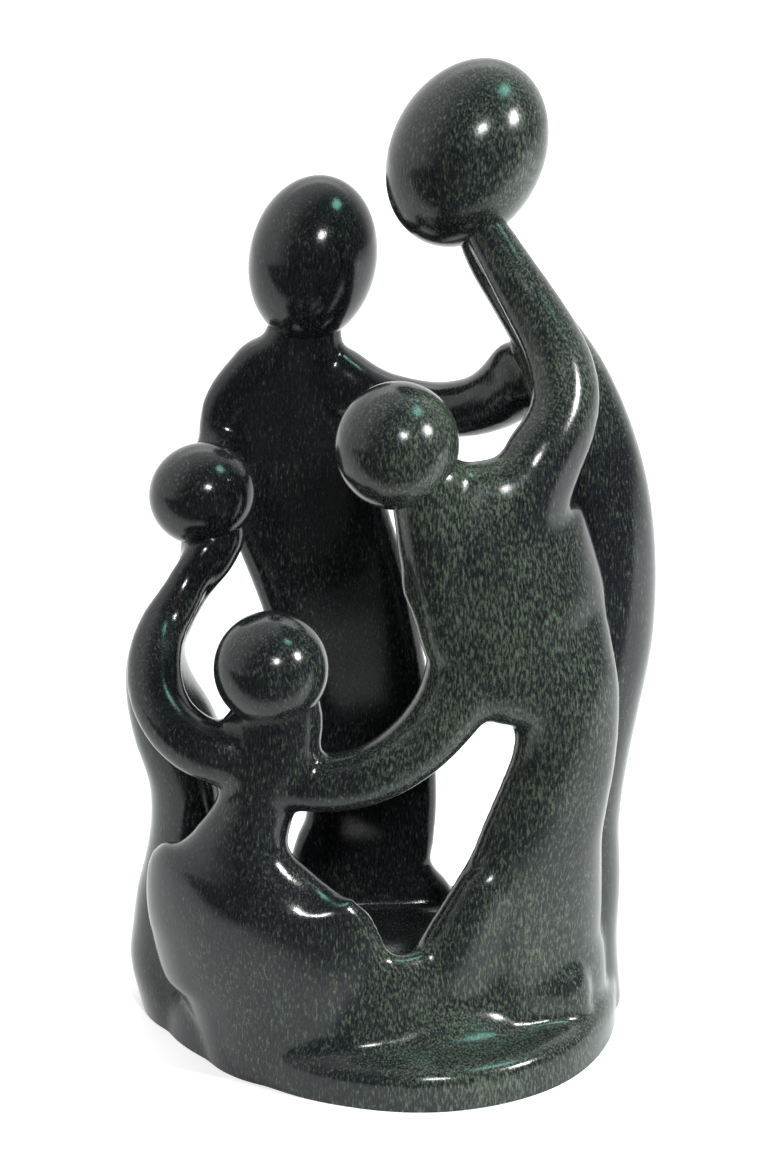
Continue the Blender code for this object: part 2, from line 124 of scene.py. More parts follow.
# %% [markdown]
# ## The tables
# A sculptor draws a few sections of a figure and lets the eye run a smooth line through them. The tables
# hold those sections: where the middle of each lies, how wide and how deep it is, and which way it faces.

# %% The rim, the feet, the bodies, the heads and the arms
# The rim of the base: degrees from +X, and distance from the middle as a share of half the span

RIM = [(-165, 0.91), (-135, 0.85), (-105, 0.90), (-75, 0.98), (-50, 1.00), (-20, 0.97),
       (15, 0.96), (50, 0.98), (85, 1.00), (120, 0.98), (155, 0.95)]

# Where each figure's foot stands: degrees from +X round the ring, and metres in from the rim

TALL_PARENT_FOOT = (14, 0.0115)
SECOND_PARENT_FOOT = (95, 0.0165)
ELDEST_CHILD_FOOT = (-33, 0.0245)
MIDDLE_CHILD_FOOT = (172, 0.0105)
YOUNGEST_CHILD_FOOT = (-130, 0.0125)

# Bodies, in hundredths of the figure's own height, measured from its foot:
# up, across (+X), back (+Y), half width, half depth; last, the way the chest faces in degrees

TALL_PARENT_BODY = [
    (0.0, -0.5, -0.5, 9.5, 5.7, 14),
    (3.5, -0.5, -0.5, 8.7, 5.4, 14),
    (6.5, -0.4, -0.4, 8.4, 5.1, 14),
    (13.5, 0.0, 0.0, 8.0, 4.9, 14),
    (19.9, 0.0, 0.4, 7.6, 4.7, 14),
    (26.4, 0.6, 0.7, 7.6, 4.8, 14),
    (32.9, 1.5, 1.0, 7.6, 5.1, 14),
    (39.4, 2.3, 1.3, 7.6, 5.5, 14),
    (48.3, 2.5, 1.3, 7.3, 5.5, 14),
    (55.8, 1.8, 1.0, 6.6, 5.2, 14),
    (62.3, 0.4, 0.4, 5.6, 4.6, 14),
    (67.8, -1.6, -0.4, 4.7, 4.0, 12),
    (72.8, -4.3, -1.4, 3.9, 3.3, 10),
    (77.2, -7.1, -2.4, 3.4, 2.9, 5),
    (81.2, -9.5, -3.0, 2.9, 2.7, 0),
    (84.7, -11.0, -3.4, 2.6, 2.4, 0),
]

SECOND_PARENT_BODY = [
    (0.0, 0.0, 0.0, 13.2, 7.1, 95),
    (4.0, -0.4, 0.0, 11.7, 5.7, 95),
    (7.9, -1.0, -0.1, 10.0, 4.6, 95),
    (10.9, -1.0, -0.1, 9.1, 4.2, 95),
    (14.0, -0.2, -0.1, 8.6, 4.0, 95),
    (17.5, 0.3, -0.3, 8.4, 4.0, 95),
    (24.0, 0.0, -0.5, 8.6, 4.0, 95),
    (32.2, -1.1, -0.8, 9.0, 4.2, 95),
    (40.4, -2.6, -1.2, 9.2, 4.4, 95),
    (48.6, -4.5, -1.8, 9.4, 4.6, 95),
    (57.4, -7.3, -2.4, 9.7, 4.6, 95),
    (63.1, -9.0, -2.7, 10.2, 4.6, 95),
    (68.2, -10.5, -3.1, 10.3, 4.6, 95),
    (72.2, -10.2, -3.5, 9.7, 4.4, 95),
    (75.8, -9.3, -3.9, 7.4, 4.2, 95),
    (78.6, -8.1, -4.3, 5.3, 3.8, 95),
    (82.1, -7.5, -4.5, 4.4, 3.6, 95),
]

ELDEST_CHILD_BODY = [
    (0.0, -1.0, -0.5, 19.2, 10.0, -60),
    (4.5, -0.6, -0.4, 18.2, 8.2, -60),
    (9.0, 0.6, -0.4, 15.7, 6.4, -60),
    (15.7, 0.6, -0.4, 14.3, 5.6, -60),
    (20.9, 1.4, -0.4, 12.9, 5.3, -60),
    (26.8, 2.2, -0.9, 11.3, 5.1, -60),
    (33.7, 3.2, -1.8, 9.6, 4.9, -60),
    (39.5, 4.5, -2.3, 8.7, 4.7, -60),
    (45.2, 5.7, -2.7, 8.0, 4.7, -60),
    (50.1, 6.0, -3.0, 7.9, 4.8, -60),
    (54.6, 5.4, -3.3, 8.8, 4.9, -60),
    (58.6, 3.2, -3.5, 11.3, 5.2, -60),
    (62.1, 1.0, -3.8, 13.8, 5.4, -60),
    (66.2, -0.2, -4.1, 14.6, 5.6, -60),
    (72.2, -2.0, -4.1, 14.5, 5.6, -60),
    (77.2, -4.4, -4.1, 14.0, 5.6, -60),
    (79.9, -5.2, -3.8, 12.2, 5.4, -60),
    (82.0, -5.4, -3.5, 9.9, 5.1, -60),
    (84.0, -5.0, -3.2, 7.2, 4.6, -58),
]

MIDDLE_CHILD_BODY = [
    (0.0, -0.2, -0.3, 16.7, 8.4, 174),
    (4.9, -0.9, -0.3, 16.1, 9.0, 174),
    (8.7, -1.3, -0.3, 14.9, 9.5, 174),
    (14.3, -1.1, -0.3, 13.9, 9.2, 174),
    (19.9, -0.9, -0.3, 13.1, 8.6, 174),
    (25.6, -0.3, -0.9, 12.4, 7.8, 174),
    (31.3, 0.1, -1.1, 11.7, 7.1, 174),
    (36.9, 0.1, -1.4, 11.1, 6.7, 174),
    (42.5, -0.4, -1.9, 10.8, 6.5, 174),
    (47.2, -1.7, -2.2, 10.5, 6.4, 174),
    (51.7, -3.3, -2.5, 10.1, 6.2, 174),
    (55.2, -4.5, -2.5, 9.7, 5.6, 174),
    (58.8, -5.2, -2.5, 8.8, 5.1, 174),
    (62.3, -5.3, -2.5, 7.9, 4.7, 174),
    (65.9, -4.3, -2.5, 7.0, 4.1, 174),
    (69.1, -2.3, -2.7, 6.2, 3.4, 174),
    (72.1, -0.4, -3.0, 5.6, 2.9, 174),
    (75.6, 1.3, -3.5, 5.3, 3.1, 174),
    (78.5, 2.6, -4.1, 5.2, 3.8, 174),
    (81.0, 3.7, -4.6, 5.2, 4.6, 174),
    (85.0, 5.0, -4.8, 5.3, 5.3, 174),
]

YOUNGEST_CHILD_BODY = [
    (0.0, 1.8, -1.6, 21.5, 9.4, -118),
    (7.0, 1.3, -1.8, 23.2, 9.3, -118),
    (14.6, 0.0, -2.3, 25.3, 8.6, -118),
    (21.0, -2.2, -3.0, 26.8, 7.7, -118),
    (27.0, -5.2, -3.3, 26.8, 7.1, -118),
    (32.0, -7.0, -3.5, 25.4, 6.7, -118),
    (36.5, -8.3, -3.5, 24.3, 6.4, -118),
    (40.0, -8.5, -3.4, 22.9, 6.1, -118),
    (42.7, -8.0, -3.2, 20.5, 6.0, -118),
    (45.4, -7.2, -2.8, 16.6, 6.0, -118),
    (47.8, -6.6, -2.3, 13.4, 6.1, -118),
    (50.5, -5.9, -1.8, 10.9, 6.3, -118),
    (53.3, -4.9, -1.3, 9.2, 6.5, -118),
    (57.0, -3.5, -0.7, 8.3, 6.8, -118),
    (60.5, -2.8, -0.1, 7.9, 6.8, -118),
    (63.8, -2.1, -0.1, 9.1, 6.8, -118),
    (67.1, -1.9, -0.1, 10.3, 6.8, -118),
    (70.4, -0.2, -0.1, 11.2, 6.8, -118),
    (73.7, 0.7, -0.5, 10.8, 6.8, -118),
    (76.6, 1.7, -0.8, 9.5, 6.8, -118),
    (81.1, 2.0, -1.2, 8.7, 6.8, -118),
]

# Heads: centre across and back, half width, half height; lean to the right in degrees
# The crown of each head stands at the figure's height

TALL_PARENT_HEAD = (-11.9, -3.0, 7.5, 9.7, 28)
SECOND_PARENT_HEAD = (-6.5, -5.0, 7.7, 10.2, 12)
ELDEST_CHILD_HEAD = (-18.2, -6.0, 8.4, 8.7, 15)
MIDDLE_CHILD_HEAD = (3.2, -4.5, 8.4, 8.8, 70)
YOUNGEST_CHILD_HEAD = (0.8, -1.7, 11.6, 11.7, 0)

# Where the arms begin and end, up, across and back in hundredths of that figure's height

TALL_PARENT_NECK = (84.5, -10.6, -5.4)
TALL_PARENT_SHOULDER = (67.5, -6.1, 1.6)
SECOND_PARENT_RIGHT = (74.4, -3.5, -4.3)
SECOND_PARENT_LEFT = (72.1, -11.3, -3.5)
ELDEST_CHILD_RIGHT = (74.7, -4.2, -3.7)
ELDEST_CHILD_LEFT = (65.8, -6.9, -5.1)
MIDDLE_CHILD_NECK_FRONT = (82.8, 3.6, -8.9)
MIDDLE_CHILD_NECK_BACK = (84.8, 4.1, -1.9)
YOUNGEST_CHILD_LEFT = (65.9, -1.3, -0.1)
YOUNGEST_CHILD_NECK = (64.0, 3.4, -0.8)

# Arms: the share of the way from the shoulder to the end, the bow off that straight line
# (up, across, back), half width, half depth, the last five in hundredths of the figure's height

ELDEST_TO_TALL_PARENT = [
    (0.00, 0.0, 1.4, 0.0, 8.6, 4.7),
    (0.17, 0.8, 4.3, -1.6, 6.9, 4.7),
    (0.28, 1.0, 6.8, -1.8, 6.0, 4.6),
    (0.38, 0.9, 9.4, -1.1, 5.3, 4.3),
    (0.47, 0.7, 10.5, -0.4, 5.1, 4.2),
    (0.55, 0.6, 10.2, -0.1, 5.0, 4.1),
    (0.64, 0.5, 8.8, 0.1, 4.5, 3.9),
    (0.74, 0.3, 6.5, 0.3, 4.0, 3.7),
    (0.85, 0.2, 3.7, 0.1, 3.4, 3.4),
    (0.94, 0.1, 1.5, 0.1, 2.9, 3.1),
    (1.00, 0.0, 0.0, 0.0, 2.6, 2.8),
]

ELDEST_TO_YOUNGEST = [
    (0.00, 0.0, 0.8, 0.0, 7.6, 5.1),
    (0.15, -1.9, 3.0, -0.7, 6.2, 4.9),
    (0.33, -4.4, 4.6, -1.4, 4.9, 4.7),
    (0.53, -5.6, 5.0, -1.6, 4.4, 4.4),
    (0.73, -4.9, 4.2, -1.5, 4.1, 4.3),
    (0.88, -2.8, 2.4, -0.9, 4.0, 4.2),
    (1.00, 0.0, 0.0, 0.0, 4.0, 4.2),
]

YOUNGEST_TO_MIDDLE = [
    (0.00, 0.0, 0.0, 0.0, 6.8, 6.1),
    (0.10, -0.7, -6.2, -2.2, 6.5, 6.1),
    (0.18, -1.8, -11.4, -3.1, 6.1, 6.0),
    (0.29, -2.6, -14.8, -3.5, 5.7, 5.8),
    (0.41, -3.3, -16.2, -3.1, 5.6, 5.6),
    (0.55, -3.7, -15.7, -2.2, 5.7, 5.4),
    (0.66, -3.7, -13.9, -1.2, 5.3, 5.2),
    (0.75, -3.6, -11.3, 0.1, 4.7, 4.9),
    (0.84, -2.8, -7.3, 0.9, 4.1, 4.5),
    (0.92, -1.8, -4.0, 0.9, 3.6, 4.1),
    (1.00, 0.0, 0.0, 0.0, 3.6, 3.9),
]

SECOND_PARENT_TO_TALL = [
    (0.00, 0.0, 0.0, 0.0, 4.6, 3.8),
    (0.10, -1.4, 0.4, 0.4, 4.0, 3.5),
    (0.20, -2.5, 0.8, 0.7, 3.6, 3.4),
    (0.32, -3.4, 1.2, 1.2, 3.4, 3.3),
    (0.46, -4.1, 1.6, 1.7, 3.3, 3.3),
    (0.60, -4.2, 1.6, 1.7, 3.5, 3.3),
    (0.74, -3.6, 1.4, 1.3, 3.7, 3.4),
    (0.87, -2.2, 1.0, 0.8, 4.1, 3.5),
    (1.00, 0.0, 0.0, 0.0, 4.3, 3.4),
]

SECOND_PARENT_TO_MIDDLE = [
    (0.00, 0.0, 0.0, 1.2, 5.0, 3.4),
    (0.20, -1.1, -2.6, 3.0, 4.4, 3.2),
    (0.44, -1.8, -3.6, 3.4, 3.8, 3.1),
    (0.69, -2.1, -3.0, 2.6, 3.4, 3.1),
    (0.88, -1.1, -1.3, 1.3, 3.1, 3.1),
    (1.00, 0.0, 0.0, 0.0, 3.1, 3.1),
]

# Low walls laid like arms: the youngest child's skirt runs on to the eldest child, whose foot flares back

SKIRT_START = (8.2, 3.0, -4.4)
SKIRT_END = (12.7, 33.0, -3.4)
YOUNGEST_SKIRT = [
    (0.00, 0.0, 0.0, 0.0, 8.4, 4.4),
    (0.25, -1.3, -0.2, -4.2, 9.6, 4.4),
    (0.50, -1.7, -0.2, -6.4, 12.4, 4.2),
    (0.75, 0.2, -0.2, -4.6, 15.4, 4.1),
    (1.00, 0.0, 0.0, 0.0, 16.2, 4.1),
]

FLARE_START = (3.2, -6.1, -8.0)
FLARE_END = (2.6, -24.0, -13.4)
ELDEST_FLARE = [
    (0.00, 0.0, 0.0, 0.0, 6.4, 5.0),
    (0.35, 0.6, 0.0, -0.6, 6.2, 4.4),
    (0.70, 0.3, 0.0, -0.6, 5.2, 3.6),
    (1.00, 0.0, 0.0, 0.0, 3.8, 2.8),
]

# Four fillets that fill where two forms meet: the eldest child's left side under the head, the left and the
# front of the same child's foot, and the youngest child's lap

SIDE_START = (64.0, -8.8, -6.5)
SIDE_END = (86.0, -13.6, -6.2)
ELDEST_SIDE = [
    (0.00, 0.0, 0.0, 0.0, 6.0, 4.4),
    (0.50, 0.0, 0.0, 0.0, 6.4, 5.0),
    (1.00, 0.0, 0.0, 0.0, 5.4, 4.6),
]

TOE_START = (27.0, -5.0, -4.6)
TOE_END = (4.0, -14.6, -6.8)
ELDEST_TOE = [
    (0.00, 0.0, 0.0, 0.0, 4.6, 3.6),
    (0.50, 0.0, 0.0, 0.0, 6.4, 4.4),
    (1.00, 0.0, 0.0, 0.0, 8.4, 5.0),
]

INSTEP_START = (7.0, -13.0, -6.4)
INSTEP_END = (8.0, 5.0, -0.6)
ELDEST_INSTEP = [
    (0.00, 0.0, 0.0, 0.0, 6.0, 4.8),
    (0.50, 1.0, 0.0, 0.0, 8.0, 5.0),
    (1.00, 0.0, 0.0, 0.0, 7.0, 5.0),
]

LAP_START = (46.4, 0.6, -3.0)
LAP_END = (36.6, 12.4, -6.6)
YOUNGEST_LAP = [
    (0.00, 0.0, 0.0, 0.0, 4.6, 4.2),
    (1.00, 0.0, 0.0, 0.0, 5.0, 4.2),
]
print("sections of the five bodies:", sum(len(rows) for rows in (
    TALL_PARENT_BODY, SECOND_PARENT_BODY, ELDEST_CHILD_BODY, MIDDLE_CHILD_BODY, YOUNGEST_CHILD_BODY)))

# %% [markdown]
# ## A smooth line through the sections
# Between two sections the curve is a cubic: it starts with one section's value and slope and ends with the
# next one's, so nothing kinks. Numpy reads hundreds of places along it in one go.

# %% Read a smooth curve through rows of numbers
def run_of(rows):
    """Distance run along the rows' centres: the sum of the steps from each centre to the next."""
    steps = np.linalg.norm(np.diff(rows[:, :3], axis=0), axis=1)
    return np.concatenate([[0], np.cumsum(steps)])


def read_smooth(rows, want):
    """Cubic through the rows. With t running from 0 to 1 between two rows, the value is
    (2t^3 - 3t^2 + 1) first + (t^3 - 2t^2 + t) first slope + (3t^2 - 2t^3) next + (t^3 - t^2) next slope."""
    rows = np.array(rows, dtype=float)
    want = np.array(want, dtype=float)
    reach = run_of(rows)
    slope = np.gradient(rows, reach, axis=0)
    first = np.clip(np.searchsorted(reach, want, side="right") - 1, 0, len(rows) - 2)
    gap = (reach[first + 1] - reach[first])[:, None]
    part = (want - reach[first])[:, None] / gap
    return (rows[first] * (2 * part**3 - 3 * part**2 + 1)
            + slope[first] * gap * (part**3 - 2 * part**2 + part)
            + rows[first + 1] * (3 * part**2 - 2 * part**3)
            + slope[first + 1] * gap * (part**3 - part**2))


def rim_radius(angles):
    """Distance from the middle of the base to its rim, for a whole array of directions in degrees."""
    marks = np.array(RIM, dtype=float)
    turn = np.concatenate([marks[-2:, 0] - 360, marks[:, 0], marks[:2, 0] + 360])
    share = np.concatenate([marks[-2:, 1], marks[:, 1], marks[:2, 1]])
    rows = np.stack([turn, 0 * turn, 0 * turn, share], axis=1)
    around = (np.atleast_1d(angles) + 180) % 360 - 180
    return BASE_SPAN / 2 * read_smooth(rows, around - turn[0])[:, 3]


def figure_point(height, foot, up, across, back):
    """A place on a figure: the foot on the base's ring plus hundredths of the figure's height."""
    angle, inset = foot
    radius = rim_radius(angle)[0] - inset
    start = np.array([radius * np.cos(radians(angle)), radius * np.sin(radians(angle)), 0.0])
    return start + np.array([across, back, up]) * height / 100


print("rim radius at the front:", round(float(rim_radius(-90)[0]) * 1000, 1), "mm")

# %% [markdown]
# ## Shells from rings
# A limb is a pile of rings. Each ring is an oval that is a little boxy, and it is bent towards the hollow
# inside the family, the way a slice of a thick pipe is. The points of all rings fill one array, and the
# faces come from the same counting trick everywhere: corner, its neighbour, and the two above them.

# %% Rings, faces and limbs
def band_faces(rings, around):
    """Corners of the four-sided faces between neighbouring rings, counted as whole arrays."""
    here = np.arange((rings - 1) * around).reshape(rings - 1, around)
    beside = np.roll(here, -1, axis=1)
    return np.stack([here, beside, beside + around, here + around], axis=-1).reshape(-1, 4)


def closed_shell(ring_points):
    """Points and faces of stacked rings, shut with one flat face at each end."""
    rings, around = ring_points.shape[:2]
    faces = band_faces(rings, around).tolist()
    faces.append(list(range(around))[::-1])
    faces.append(list(range((rings - 1) * around, rings * around)))
    return ring_points.reshape(-1, 3), faces


def limb(rows):
    """Rings along rows of centre x, y, z, half width, half depth and facing. With a turning from 0 to 360,
    side = half width * cos(a)^(2/fullness), front = half depth * sin(a)^(2/fullness), both keeping their
    sign, and the ring is cupped by side^2 / (2 * bend radius)."""
    rows = read_smooth(rows, np.linspace(0, run_of(np.array(rows, dtype=float))[-1], LIMB_RINGS))
    along = np.gradient(rows[:, :3], axis=0)
    along /= np.linalg.norm(along, axis=1)[:, None]
    turn = np.radians(rows[:, 5])
    face = np.stack([np.cos(turn), np.sin(turn), 0 * turn], axis=1)
    width = np.cross(along, face)
    width /= np.linalg.norm(width, axis=1)[:, None]
    depth = np.cross(width, along)

    cap = np.radians(CAP_DEGREES)
    size = np.concatenate([np.cos(cap), np.ones(LIMB_RINGS), np.cos(cap[::-1])])
    pick = np.concatenate([np.zeros(len(cap), int), np.arange(LIMB_RINGS),
                           np.full(len(cap), LIMB_RINGS - 1)])
    push = np.concatenate([-rows[0, 4] * np.sin(cap), np.zeros(LIMB_RINGS), rows[-1, 4] * np.sin(cap[::-1])])
    centre = rows[pick, :3] + along[pick] * push[:, None]

    angle = np.arange(LIMB_AROUND) * 2 * np.pi / LIMB_AROUND
    side = np.sign(np.cos(angle)) * np.abs(np.cos(angle)) ** (2 / FULLNESS) * (rows[pick, 3] * size)[:, None]
    front = np.sign(np.sin(angle)) * np.abs(np.sin(angle)) ** (2 / FULLNESS) * (rows[pick, 4] * size)[:, None]
    level = np.linalg.norm(width[pick, :2], axis=1)[:, None]
    front = front - (side * level) ** 2 / (2 * BEND_RADIUS)
    ring = centre[:, None] + side[..., None] * width[pick][:, None] + front[..., None] * depth[pick][:, None]
    return closed_shell(ring)


print("a limb has", (LIMB_RINGS + 2 * len(CAP_DEGREES)) * LIMB_AROUND, "points")

# %% [markdown]
# ## The base
# Its rim is an uneven oval. The top edge is a quarter circle, made by moving each ring in and up together.

# %% Make the base's shell
bend = np.linspace(0, np.pi / 2, EDGE_RINGS)
heights = np.concatenate([[-SPARE_DEPTH, 0], BASE_THICKNESS - BASE_EDGE * (1 - np.sin(bend))])
insets = np.concatenate([[0, 0], BASE_EDGE * (1 - np.cos(bend))])
angles = np.arange(BASE_AROUND) * 360 / BASE_AROUND
radius = rim_radius(angles)[None, :] - insets[:, None]
base_rings = np.stack([radius * np.cos(np.radians(angles)), radius * np.sin(np.radians(angles)),
                       np.repeat(heights[:, None], BASE_AROUND, axis=1)], axis=-1)
shells = [closed_shell(base_rings)]
print("base is", round(float(np.ptp(base_rings[..., 0])) * 1000), "by",
      round(float(np.ptp(base_rings[..., 1])) * 1000), "mm")

# %% [markdown]
# ## Bodies
# Every body stands on its own foot mark, and one height turns its hundredths into metres.

# %% Make the bodies' shells
figures = {
    "tall parent": (TALL_PARENT_HEIGHT, TALL_PARENT_FOOT, TALL_PARENT_BODY, TALL_PARENT_HEAD),
    "second parent": (SECOND_PARENT_HEIGHT, SECOND_PARENT_FOOT, SECOND_PARENT_BODY, SECOND_PARENT_HEAD),
    "eldest child": (ELDEST_CHILD_HEIGHT, ELDEST_CHILD_FOOT, ELDEST_CHILD_BODY, ELDEST_CHILD_HEAD),
    "middle child": (MIDDLE_CHILD_HEIGHT, MIDDLE_CHILD_FOOT, MIDDLE_CHILD_BODY, MIDDLE_CHILD_HEAD),
    "youngest child": (YOUNGEST_CHILD_HEIGHT, YOUNGEST_CHILD_FOOT, YOUNGEST_CHILD_BODY, YOUNGEST_CHILD_HEAD),
}


def body_rows(height, foot, body):
    """Turn a body's hundredths into metres, all rows at once."""
    body = np.array(body, dtype=float)
    centre = figure_point(height, foot, 0, 0, 0) + body[:, [1, 2, 0]] * height / 100
    return np.column_stack([centre, body[:, 3:5] * height / 100, body[:, 5]])


for name, (height, foot, body, head) in figures.items():
    shells.append(limb(body_rows(height, foot, body)))
    print(name, "stands", round(height * 1000), "mm tall")

# %% [markdown]
# ## Arms
# An arm starts at a shoulder and ends on a neighbour's neck. Its table only says how far it bows away from
# the straight line between the two. Two low walls and four fillets are laid the same way, from one place of a
# figure to another.

# %% Make the shells of the arms, the low walls and the fillets
# Whose arm, from where, to whom, to where, the way it faces at both ends in degrees, and its table

arms = [
    ("eldest child", ELDEST_CHILD_RIGHT, "tall parent", TALL_PARENT_NECK, (-57, -15),
     ELDEST_TO_TALL_PARENT),
    ("eldest child", ELDEST_CHILD_LEFT, "youngest child", YOUNGEST_CHILD_NECK, (-70, -95),
     ELDEST_TO_YOUNGEST),
    ("youngest child", YOUNGEST_CHILD_LEFT, "middle child", MIDDLE_CHILD_NECK_FRONT, (-110, -150),
     YOUNGEST_TO_MIDDLE),
    ("second parent", SECOND_PARENT_RIGHT, "tall parent", TALL_PARENT_SHOULDER, (90, 30),
     SECOND_PARENT_TO_TALL),
    ("second parent", SECOND_PARENT_LEFT, "middle child", MIDDLE_CHILD_NECK_BACK, (110, 175),
     SECOND_PARENT_TO_MIDDLE),
    ("youngest child", SKIRT_START, "youngest child", SKIRT_END, (-115, -80), YOUNGEST_SKIRT),
    ("eldest child", FLARE_START, "eldest child", FLARE_END, (-70, -100), ELDEST_FLARE),
    ("eldest child", SIDE_START, "eldest child", SIDE_END, (-60, -60), ELDEST_SIDE),
    ("eldest child", TOE_START, "eldest child", TOE_END, (-62, -78), ELDEST_TOE),
    ("eldest child", INSTEP_START, "eldest child", INSTEP_END, (-76, -60), ELDEST_INSTEP),
    ("youngest child", LAP_START, "youngest child", LAP_END, (-118, -118), YOUNGEST_LAP),
]


def arm_rows(height, start, end, facings, arm):
    """Lay an arm: start + way * (end - start) + the bow, with the facing turned on the way."""
    arm = np.array(arm, dtype=float)
    way = arm[:, :1]
    centre = start + way * (end - start) + arm[:, [2, 3, 1]] * height / 100
    facing = facings[0] + way * (facings[1] - facings[0])
    return np.column_stack([centre, arm[:, 4:6] * height / 100, facing])


for owner, shoulder, neighbour, neck, facings, arm in arms:
    height, foot = figures[owner][:2]
    start = figure_point(height, foot, *shoulder)
    end = figure_point(*figures[neighbour][:2], *neck)
    shells.append(limb(arm_rows(height, start, end, facings, arm)))
    print("from", owner, "to", neighbour + ":", round(float(np.linalg.norm(end - start)) * 1000), "mm")

# %% [markdown]
# ## One skin
# The shells still cross each other. A voxel remesh keeps only the outer skin of the pile, as if the block
# had been carved from outside.

# %% Join the shells into one skin
def mesh_object(name, points, faces):
    """A mesh object at the origin, its place held by its points."""
    mesh = bpy.data.meshes.new(name)
    mesh.from_pydata(points.tolist(), [], faces)
    mesh.update()
    made = bpy.data.objects.new(name, mesh)
    bpy.context.collection.objects.link(made)
    return made


def apply_modifiers(made):
    """Bake an object's modifiers into its mesh."""
    bpy.context.view_layer.update()
    ready = made.evaluated_get(bpy.context.evaluated_depsgraph_get())
    mesh = bpy.data.meshes.new_from_object(ready)
    made.modifiers.clear()
    made.data = mesh


starts = np.cumsum([0] + [len(points) for points, faces in shells])
all_points = np.concatenate([points for points, faces in shells])
all_faces = [[start + corner for corner in face] for start, (points, faces) in zip(starts.tolist(), shells)
             for face in faces]
carving = mesh_object("carving", all_points, all_faces)
skin = carving.modifiers.new("one skin", "REMESH")
skin.mode = "VOXEL"
skin.voxel_size = CARVING_STEP
apply_modifiers(carving)
print("skin has", len(carving.data.polygons), "faces")

# %% [markdown]
# ## Rubbing
# Smoothing rubs the inner corners round, the way a sculptor does with wet sandpaper. How far it spreads grows
# with the square root of the number of passes. In six places one form sweeps into the next, so the rubbing
# goes on there, less and less towards their edges.

# %% Rub the skin round
def read_places(made):
    """All points of an object's mesh, one row each."""
    places = np.empty(len(made.data.vertices) * 3)
    made.data.vertices.foreach_get("co", places)
    return places.reshape(-1, 3)


places = read_places(carving)
closeness = np.zeros(len(places))
for *middle, reach in np.array(SWEEPS) * TALL_PARENT_HEIGHT / 100:
    away = np.linalg.norm(places - middle, axis=1) / reach
    closeness = np.maximum(closeness, 1 - np.clip(away, 0, 1) ** 2)
swept = carving.vertex_groups.new(name="swept")
for step in range(1, SWEEP_SHADES + 1):
    chosen = np.flatnonzero(np.round(closeness * SWEEP_SHADES) == step)
    swept.add(chosen.tolist(), step / SWEEP_SHADES, "REPLACE")

for label, spread, group in (("rub round", CREASE_SPREAD, ""), ("sweep", SWEEP_SPREAD, "swept")):
    rub = carving.modifiers.new(label, "SMOOTH")
    rub.factor = 0.5
    rub.iterations = round(PASSES_PER_STEP * (spread / CARVING_STEP) ** 2)
    rub.vertex_group = group
    print(label, "takes", rub.iterations, "passes")
apply_modifiers(carving)

# %% [markdown]
# ## Heads
# The heads are added after the rubbing, so the crease where each rests on its neck stays crisp. A head is
# a ball stretched to an egg and leaned over; its crown stands at the figure's height.

# %% Add the heads
def combine(made, other, operation):
    """Join or cut one solid with another and drop the second."""
    step = made.modifiers.new("combine", "BOOLEAN")
    step.operation = operation
    step.solver = "EXACT"
    step.object = other
    apply_modifiers(made)
    bpy.data.objects.remove(other)


for name, (height, foot, body, (across, back, half_width, half_height, lean)) in figures.items():
    up = 100 - np.hypot(half_height * np.cos(radians(lean)), half_width * np.sin(radians(lean)))
    bpy.ops.mesh.primitive_uv_sphere_add(segments=HEAD_AROUND, ring_count=HEAD_RINGS, radius=height / 100)
    head = bpy.context.object
    place = Matrix.Translation(Vector(figure_point(height, foot, up, across, back)))
    head.data.transform(place @ Matrix.Rotation(radians(lean), 4, "Y")
                        @ Matrix.Diagonal((half_width, half_width, half_height, 1)))
    combine(carving, head, "UNION")
    print("head of the", name, "joined")

# %% [markdown]
# ## Underside
# A big block below the ground saws the underside flat. Then the points are held inside the solid model's box,
# which moves a few of them by a fifth of a millimetre at the most.

# %% Saw the underside flat
bpy.ops.mesh.primitive_cube_add(size=1, location=(0, 0, -0.5))
combine(carving, bpy.context.object, "DIFFERENCE")
held = np.clip(read_places(carving), cad_low, cad_high)
carving.data.vertices.foreach_set("co", held.ravel())
carving.data.polygons.foreach_set("use_smooth", np.ones(len(carving.data.polygons), bool))
carving.data.set_sharp_from_angle(angle=radians(SHARP_DEGREES))
triangles = sum(len(face.vertices) - 2 for face in carving.data.polygons)
print("carving has", triangles, "triangles")

# %% [markdown]
# ## Stone
# The stone is a near-black green one. Fine flecks run through the block, all leaning the same way, because
# they are the grain of the rock and not paint on its skin: the pattern is read from the place in the block.

# %% Node helpers
def node(tree, kind, settings=(), **inputs):
    """Add a node, set its properties, and link or set its inputs. An input goes by its name, with _ for a
    space, or by its number, as in i0 for the first one."""
    made = tree.nodes.new(kind)
    for name, value in dict(settings).items():
        setattr(made, name, value)
    for name, value in inputs.items():
        counted = name[0] == "i" and name[1:].isdigit()
        socket = made.inputs[int(name[1:]) if counted else name.replace("_", " ")]
        if isinstance(value, bpy.types.NodeSocket):
            tree.links.new(value, socket)
        else:
            socket.default_value = value
    return made


def soft_range(tree, value, low, high, first, last):
    """An output that runs from first to last in a soft S while the value runs from low to high."""
    return node(tree, "ShaderNodeMapRange", {"interpolation_type": "SMOOTHSTEP"}, Value=value, From_Min=low,
                From_Max=high, To_Min=first, To_Max=last).outputs["Result"]


def even_range(tree, value, low, high, first, last):
    """An output that runs evenly from first to last while the value runs from low to high."""
    return node(tree, "ShaderNodeMapRange", Value=value, From_Min=low, From_Max=high, To_Min=first,
                To_Max=last).outputs["Result"]


def add_share(tree, value, share, base):
    """An output of value * share + base."""
    return node(tree, "ShaderNodeMath", {"operation": "MULTIPLY_ADD"}, i0=value, i1=share, i2=base).outputs[0]


